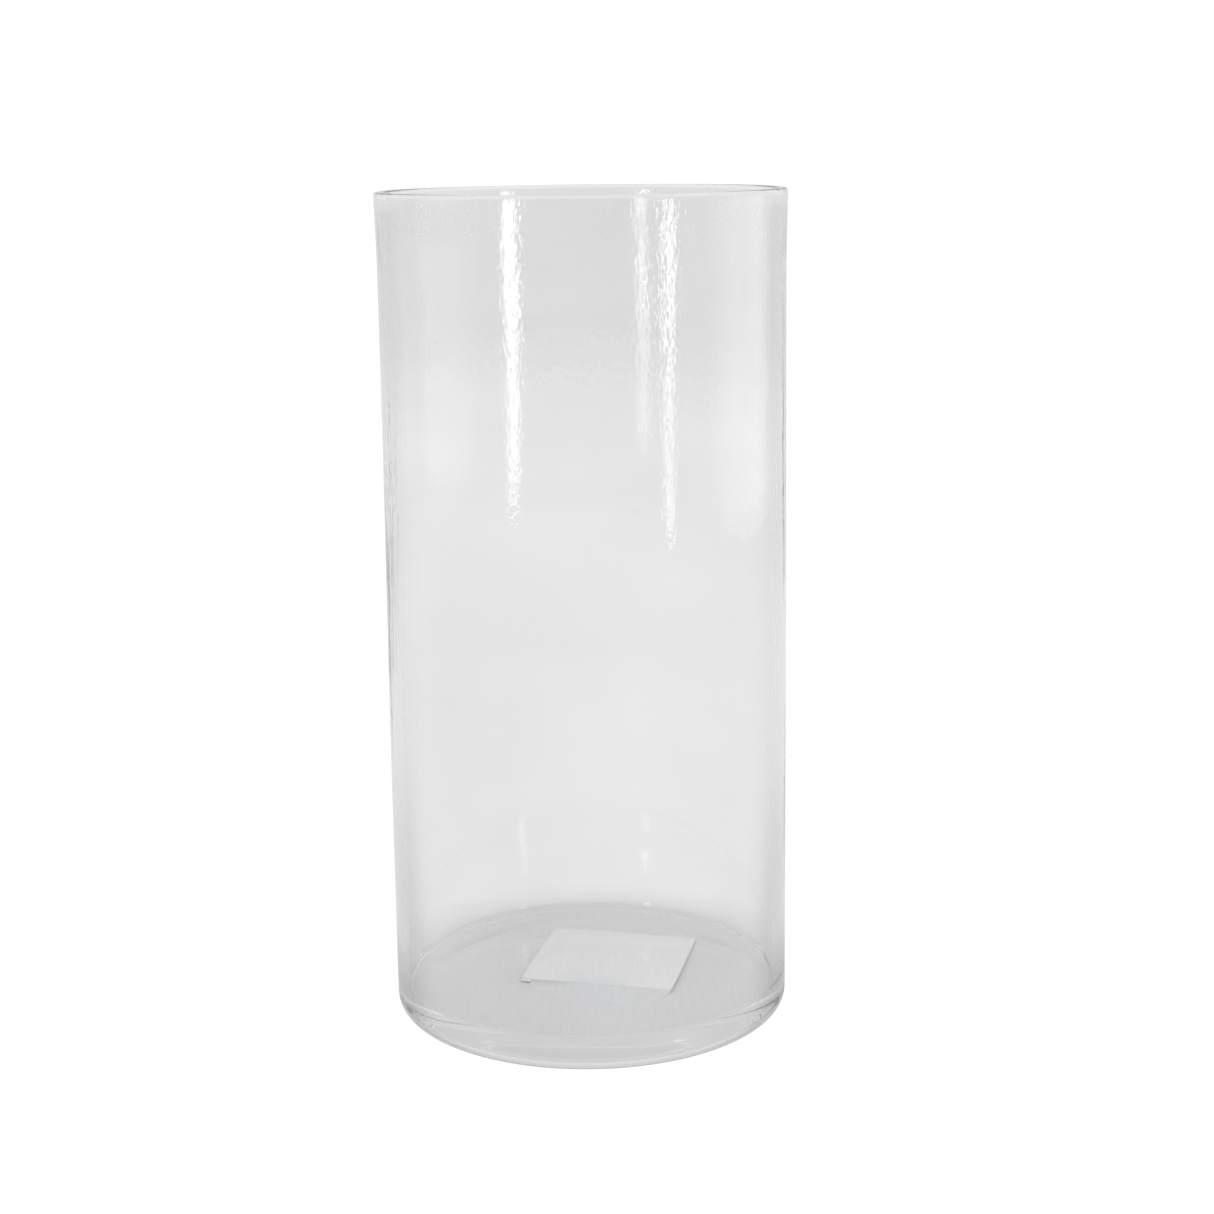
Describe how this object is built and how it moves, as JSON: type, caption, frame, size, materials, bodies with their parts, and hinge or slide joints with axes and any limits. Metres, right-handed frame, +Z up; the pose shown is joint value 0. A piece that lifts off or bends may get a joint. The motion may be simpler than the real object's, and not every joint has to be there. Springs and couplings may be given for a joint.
{
  "type": "glass cylinder vase",
  "caption": "Straight-sided clear glass cylinder vase with a thick flat floor, a domed underside that stands on a ring, and a blank paper label stuck under its base.",
  "frame": {"origin": "on the vase's axis, in the plane that its foot ring stands on", "axes": "+Z up along the axis and out of the mouth; +X to the right and +Y to the back as the vase is seen from the side nearest the bare end of the label"},
  "size_m": [0.121, 0.121, 0.249],
  "materials": {
    "clear_glass": "clear, fire polished",
    "label_gum": "translucent gum film",
    "label_paper": "uncoated back of a label"
  },
  "bodies": {
    "root": {"glass_vessel": "clear_glass", "label_adhesive": "label_gum", "label_paper": "label_paper"}
  },
  "joints": []
}
